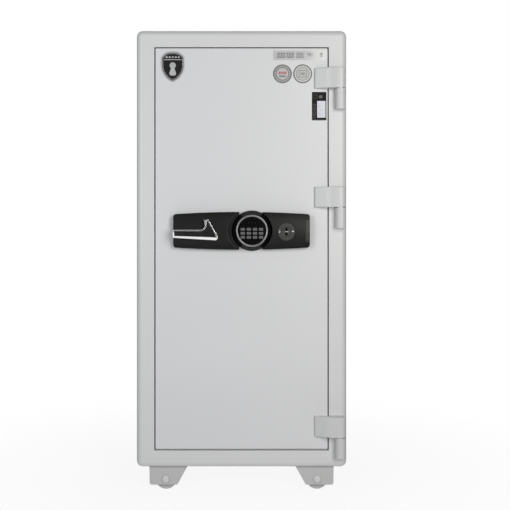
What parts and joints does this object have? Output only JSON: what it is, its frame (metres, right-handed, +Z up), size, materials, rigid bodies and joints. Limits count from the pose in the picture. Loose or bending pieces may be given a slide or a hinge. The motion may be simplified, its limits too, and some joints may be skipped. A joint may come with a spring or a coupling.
{
  "type": "wheeled fireproof document safe",
  "caption": "Tall upright fire-resistant document safe on fixed wheels, with a lever handle, round keypad, key lock, shelves and an inner drawer.",
  "frame": {"origin": "on the floor, under the middle of the bounding box", "axes": "+X to the viewer's right seen from the front, -Y out of the door, +Y to the back, +Z up"},
  "size_m": [0.56, 0.544, 1.229],
  "materials": {
    "cabinet_paint": "light silver-grey powder coat",
    "door_paint": "light silver-grey powder coat",
    "interior_paint": "grey powder coat",
    "castor_paint": "grey powder coat",
    "insulation": "poured lightweight mineral fill",
    "seal": "swelling seal strip",
    "axle_steel": "painted over steel",
    "wheel_iron": "painted solid wheel",
    "steel": "zinc-plated steel",
    "lock_steel": "yellow-passivated steel",
    "motor_can": "plated steel can",
    "panel_plastic": "satin black moulding",
    "bezel_plastic": "gloss black moulding",
    "face_plastic": "gloss black face",
    "key_plastic": "grey key caps",
    "board": "green circuit board",
    "chrome_trim": "bright chrome",
    "escutcheon_metal": "dark satin metal",
    "key_brass": "nickel-plated brass",
    "cable_jacket": "black lead",
    "badge_metal": "bright rim with dark field",
    "battery_case": "dark battery case"
  },
  "bodies": {
    "cabinet": {"outer_shell": "cabinet_paint", "back_panel": "cabinet_paint", "door_frame": "cabinet_paint", "inner_liner": "interior_paint", "cabinet_insulation": "insulation", "fire_seal": "seal", "castor_brackets": "castor_paint", "castor_axles": "axle_steel", "hinge_barrels": "cabinet_paint", "hinge_pins": "steel", "shelf_upper": "interior_paint", "shelf_lower": "interior_paint", "shelf_brackets": "interior_paint", "drawer_housing": "interior_paint"},
    "wheel_front_left": {"wheel_front_left": "wheel_iron"},
    "wheel_front_right": {"wheel_front_right": "wheel_iron"},
    "wheel_rear_left": {"wheel_rear_left": "wheel_iron"},
    "wheel_rear_right": {"wheel_rear_right": "wheel_iron"},
    "door": {"door_skin": "door_paint", "door_pan": "door_paint", "door_insulation": "insulation", "boltwork_cover": "door_paint", "cover_screws": "steel", "hinge_straps": "door_paint", "fixed_bolts": "steel", "bolt_guides": "steel", "lock_panel": "panel_plastic", "keypad_bezel": "bezel_plastic", "keypad_ring": "chrome_trim", "keypad_face": "face_plastic", "keypad_board": "board", "key_escutcheon": "escutcheon_metal", "lock_case": "lock_steel", "lock_motor": "motor_can", "lock_cable": "cable_jacket", "shield_badge": "badge_metal"},
    "handle": {"handle_lever": "chrome_trim", "handle_insert": "bezel_plastic", "handle_spindle": "steel"},
    "boltwork": {"bolt_bar": "steel", "live_bolts": "steel"},
    "lock_cylinder": {"key_plug": "key_brass"},
    "lock_bolt": {"lock_bolt": "lock_steel"},
    "blocker": {"blocking_pin": "steel"},
    "battery_drawer": {"battery_tray": "panel_plastic", "battery": "battery_case"},
    "drawer": {"drawer_box": "interior_paint", "drawer_pull": "chrome_trim"},
    "key_1": {"key_1": "key_plastic"},
    "key_2": {"key_2": "key_plastic"},
    "key_3": {"key_3": "key_plastic"},
    "key_4": {"key_4": "key_plastic"},
    "key_5": {"key_5": "key_plastic"},
    "key_6": {"key_6": "key_plastic"},
    "key_7": {"key_7": "key_plastic"},
    "key_8": {"key_8": "key_plastic"},
    "key_9": {"key_9": "key_plastic"},
    "key_0": {"key_0": "key_plastic"},
    "key_star": {"key_star": "key_plastic"},
    "key_hash": {"key_hash": "key_plastic"}
  },
  "joints": [
    {"name": "door_swing", "type": "hinge", "parent": "cabinet", "child": "door", "pos_m": [0.262, -0.243, 0.647], "axis": [0, 0, 1], "range_deg": [0, 150]},
    {"name": "handle_turn", "type": "hinge", "parent": "door", "child": "handle", "pos_m": [-0.082, -0.228, 0.69], "axis": [0, 1, 0], "range_deg": [0, 60]},
    {"name": "bolt_throw", "type": "slide", "parent": "door", "child": "boltwork", "axis": [-1, 0, 0], "range_m": [0, 0.03]},
    {"name": "key_turn", "type": "hinge", "parent": "door", "child": "lock_cylinder", "pos_m": [0.118, -0.228, 0.693], "axis": [0, 1, 0], "range_deg": [0, 90]},
    {"name": "lock_bolt_throw", "type": "slide", "parent": "door", "child": "lock_bolt", "axis": [0, 0, -1], "range_m": [0, 0.01]},
    {"name": "blocking_pin_throw", "type": "slide", "parent": "door", "child": "blocker", "axis": [0, 0, -1], "range_m": [0, 0.01]},
    {"name": "battery_tray_slide", "type": "slide", "parent": "door", "child": "battery_drawer", "axis": [1, 0, 0], "range_m": [0, 0.036]},
    {"name": "drawer_slide", "type": "slide", "parent": "cabinet", "child": "drawer", "axis": [0, -1, 0], "range_m": [0, 0.115]},
    {"name": "wheel_front_left_spin", "type": "hinge", "parent": "cabinet", "child": "wheel_front_left", "pos_m": [-0.203, -0.184, 0.029], "axis": [0, 1, 0], "continuous": true},
    {"name": "wheel_front_right_spin", "type": "hinge", "parent": "cabinet", "child": "wheel_front_right", "pos_m": [0.203, -0.184, 0.029], "axis": [0, 1, 0], "continuous": true},
    {"name": "wheel_rear_left_spin", "type": "hinge", "parent": "cabinet", "child": "wheel_rear_left", "pos_m": [-0.203, 0.228, 0.029], "axis": [0, 1, 0], "continuous": true},
    {"name": "wheel_rear_right_spin", "type": "hinge", "parent": "cabinet", "child": "wheel_rear_right", "pos_m": [0.203, 0.228, 0.029], "axis": [0, 1, 0], "continuous": true},
    {"name": "key_1_press", "type": "slide", "parent": "door", "child": "key_1", "axis": [0, 1, 0], "range_m": [0, 0.001], "stiffness_N_per_m": 600, "springref_m": -0.0005},
    {"name": "key_2_press", "type": "slide", "parent": "door", "child": "key_2", "axis": [0, 1, 0], "range_m": [0, 0.001], "stiffness_N_per_m": 600, "springref_m": -0.0005},
    {"name": "key_3_press", "type": "slide", "parent": "door", "child": "key_3", "axis": [0, 1, 0], "range_m": [0, 0.001], "stiffness_N_per_m": 600, "springref_m": -0.0005},
    {"name": "key_4_press", "type": "slide", "parent": "door", "child": "key_4", "axis": [0, 1, 0], "range_m": [0, 0.001], "stiffness_N_per_m": 600, "springref_m": -0.0005},
    {"name": "key_5_press", "type": "slide", "parent": "door", "child": "key_5", "axis": [0, 1, 0], "range_m": [0, 0.001], "stiffness_N_per_m": 600, "springref_m": -0.0005},
    {"name": "key_6_press", "type": "slide", "parent": "door", "child": "key_6", "axis": [0, 1, 0], "range_m": [0, 0.001], "stiffness_N_per_m": 600, "springref_m": -0.0005},
    {"name": "key_7_press", "type": "slide", "parent": "door", "child": "key_7", "axis": [0, 1, 0], "range_m": [0, 0.001], "stiffness_N_per_m": 600, "springref_m": -0.0005},
    {"name": "key_8_press", "type": "slide", "parent": "door", "child": "key_8", "axis": [0, 1, 0], "range_m": [0, 0.001], "stiffness_N_per_m": 600, "springref_m": -0.0005},
    {"name": "key_9_press", "type": "slide", "parent": "door", "child": "key_9", "axis": [0, 1, 0], "range_m": [0, 0.001], "stiffness_N_per_m": 600, "springref_m": -0.0005},
    {"name": "key_0_press", "type": "slide", "parent": "door", "child": "key_0", "axis": [0, 1, 0], "range_m": [0, 0.001], "stiffness_N_per_m": 600, "springref_m": -0.0005},
    {"name": "key_star_press", "type": "slide", "parent": "door", "child": "key_star", "axis": [0, 1, 0], "range_m": [0, 0.001], "stiffness_N_per_m": 600, "springref_m": -0.0005},
    {"name": "key_hash_press", "type": "slide", "parent": "door", "child": "key_hash", "axis": [0, 1, 0], "range_m": [0, 0.001], "stiffness_N_per_m": 600, "springref_m": -0.0005}
  ],
  "couplings": [
    {"joint": "bolt_throw", "follows": "handle_turn", "m_per_rad": 0.028647},
    {"joint": "lock_bolt_throw", "follows": "key_turn", "m_per_rad": 0.006366}
  ]
}
